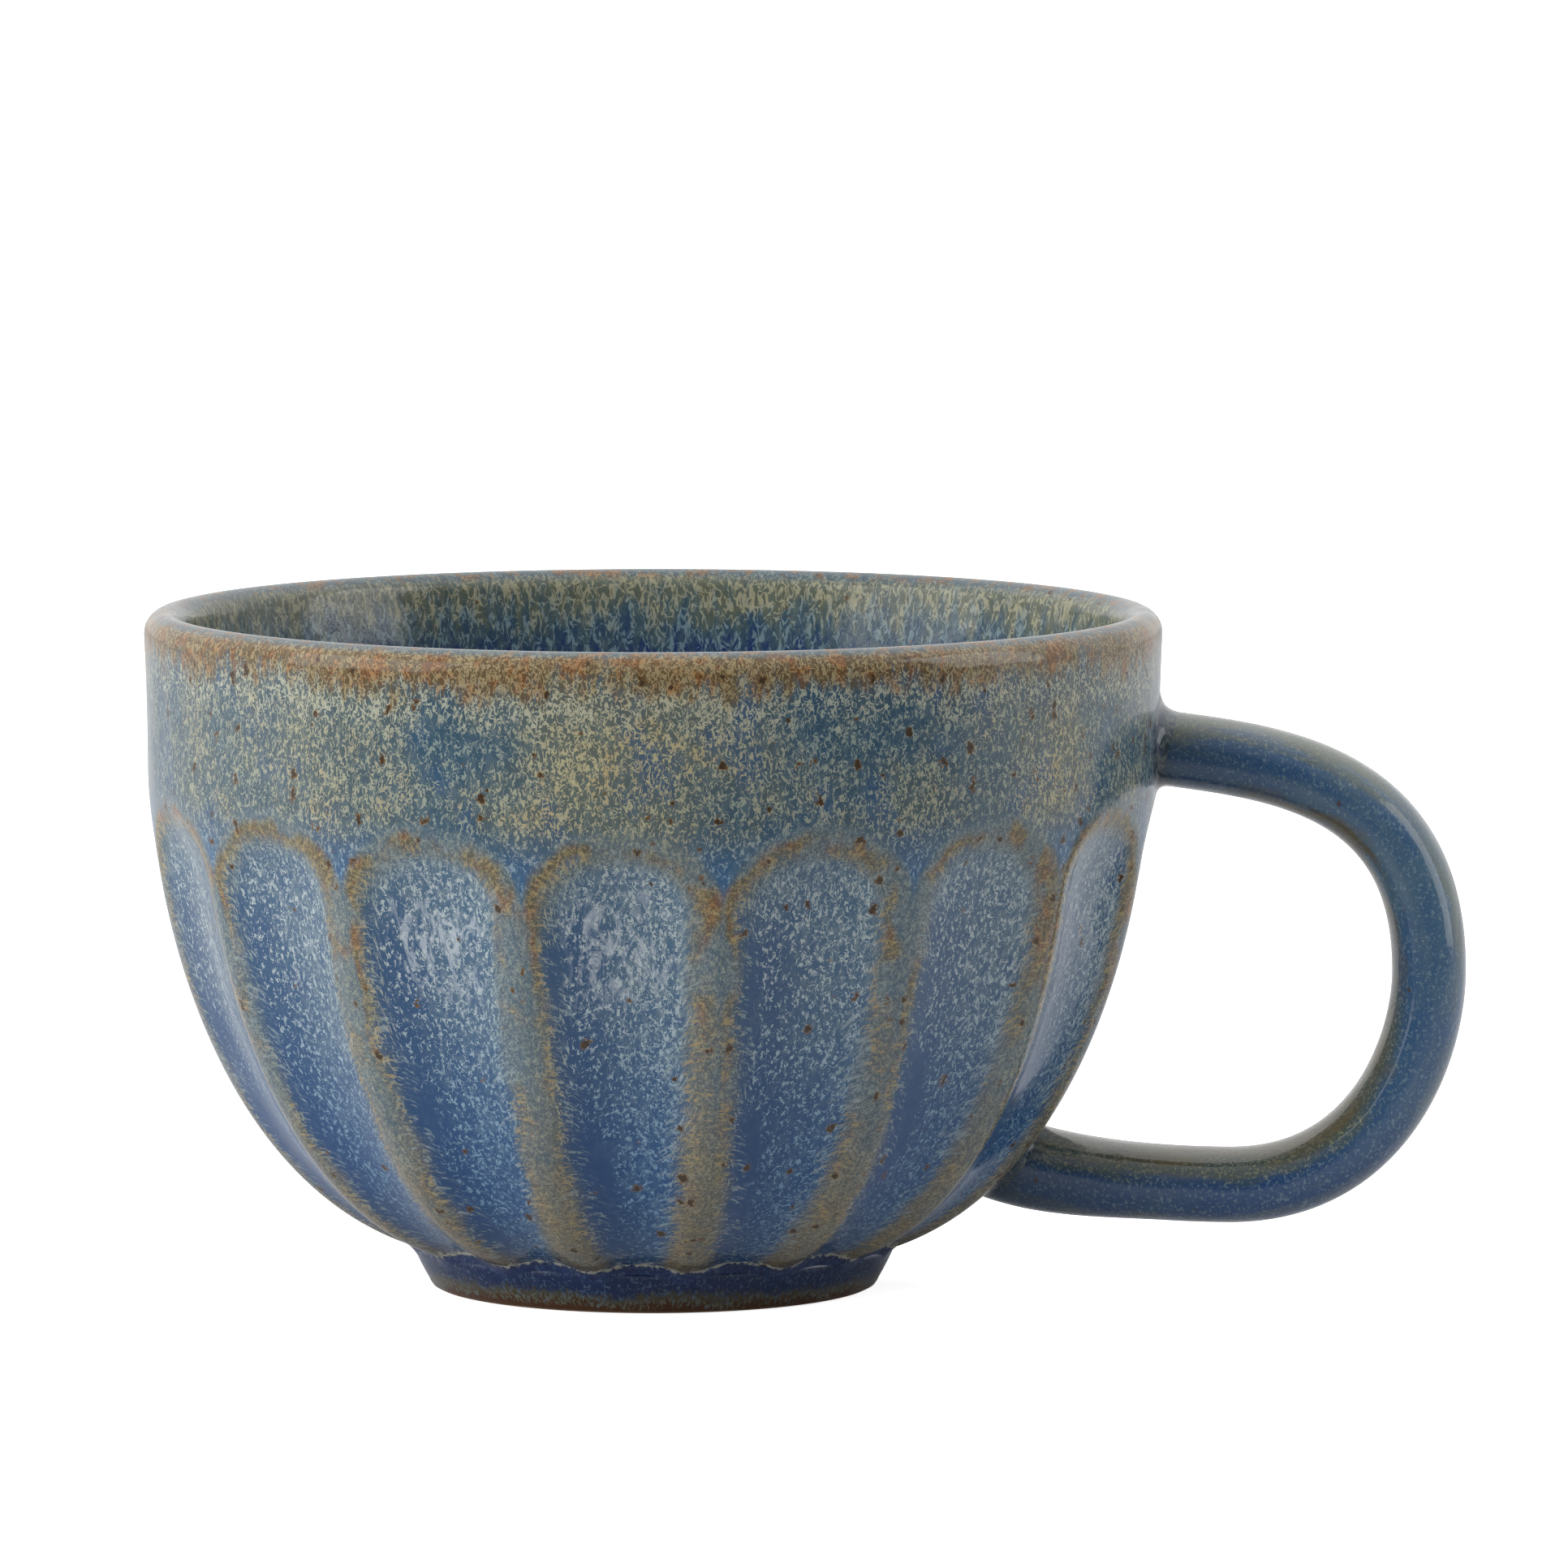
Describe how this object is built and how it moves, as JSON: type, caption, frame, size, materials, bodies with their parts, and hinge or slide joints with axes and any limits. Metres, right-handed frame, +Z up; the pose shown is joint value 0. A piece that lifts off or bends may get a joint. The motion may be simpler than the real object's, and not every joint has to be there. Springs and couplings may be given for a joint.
{
  "type": "ceramic mug",
  "caption": "Wide stoneware cappuccino mug with arched flutes around a round bowl, a low foot ring and a loop handle, in speckled blue reactive glaze.",
  "frame": {"origin": "centre of the mug's length and width, on the surface that the foot ring stands on", "axes": "+X from the bowl towards the handle, +Y across the bowl, +Z up; the bowl's own axis is vertical at X = -17.25 mm"},
  "size_m": [0.1493, 0.115, 0.0768],
  "materials": {
    "bowl_glaze": "glossy reactive glaze, blue with cream crystals and tan where it breaks over edges",
    "foot_glaze": "glossy cobalt glaze breaking to brown, bare unglazed clay on the standing face",
    "pooled_glaze": "glossy deep cobalt pooled glaze",
    "handle_glaze": "glossy deep blue glaze breaking to olive tan along its edges",
    "joint_glaze": "glossy pooled glaze"
  },
  "bodies": {
    "root": {"bowl": "bowl_glaze", "foot_ring": "foot_glaze", "foot_slip_seam": "pooled_glaze", "handle": "handle_glaze", "upper_slip_joint": "joint_glaze", "lower_slip_joint": "joint_glaze"}
  },
  "joints": []
}
